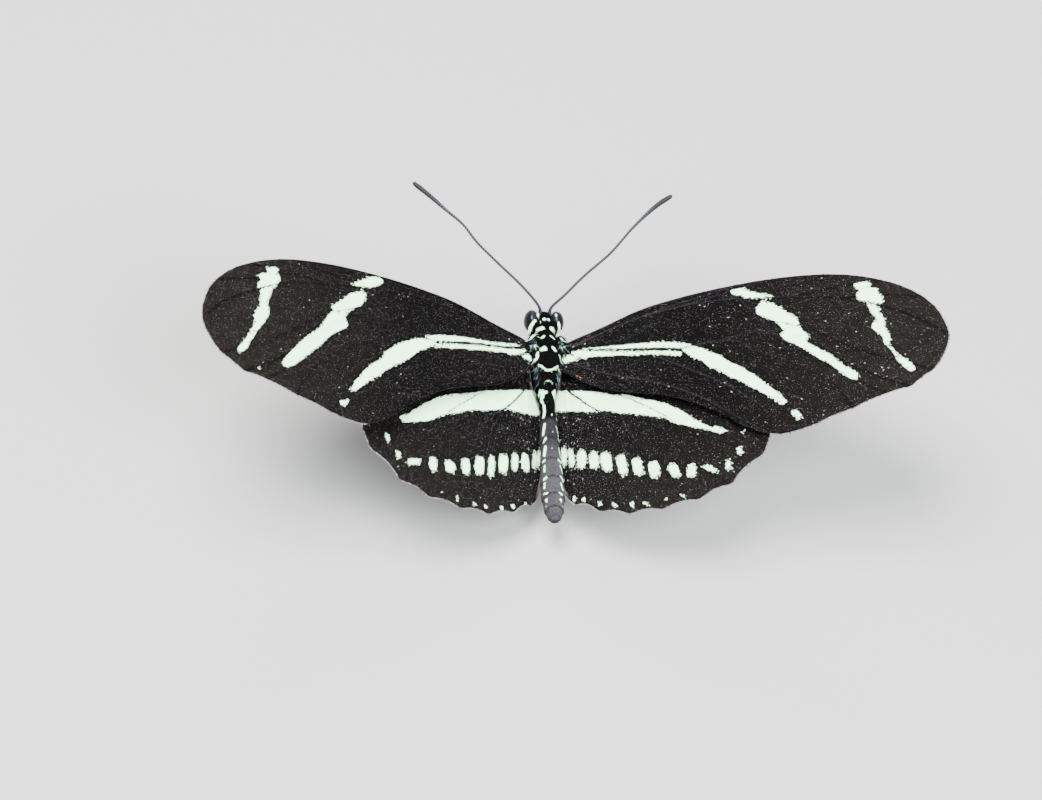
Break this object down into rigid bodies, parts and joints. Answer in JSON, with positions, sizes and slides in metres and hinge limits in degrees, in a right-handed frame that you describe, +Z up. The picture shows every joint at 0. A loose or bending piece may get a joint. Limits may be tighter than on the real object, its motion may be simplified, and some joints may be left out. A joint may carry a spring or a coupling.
{
  "type": "zebra longwing butterfly",
  "caption": "Zebra longwing butterfly at life size, a still model standing on the floor with its veined wings held open in a shallow V and its feelers spread.",
  "frame": {"origin": "on the floor, under the middle of the insect's bounding box", "axes": "+Z up, +Y towards the head, +X towards the insect's right wing tip"},
  "size_m": [0.0808, 0.0402, 0.0267],
  "materials": {
    "body": "black scales and short hair with cream spots",
    "abdomen": "grey-brown scales over narrow rings, with cream side spots",
    "eye": "dark glossy dome",
    "wing": "matt black-brown scales with pale mint-cream bands and spots",
    "limb": "dark satin shell"
  },
  "bodies": {
    "root": {"thorax": "body", "prothorax": "body", "head": "body", "abdomen": "abdomen", "tegula_left": "body", "tegula_right": "body", "palp_left": "body", "palp_right": "body", "eye_left": "eye", "eye_right": "eye", "proboscis": "limb", "antenna_left": "limb", "antenna_right": "limb", "foreleg_left": "limb", "foreleg_right": "limb", "midleg_left": "limb", "midleg_right": "limb", "hindleg_left": "limb", "hindleg_right": "limb", "forewing_left": "wing", "forewing_right": "wing", "hindwing_left": "wing", "hindwing_right": "wing"}
  },
  "joints": []
}
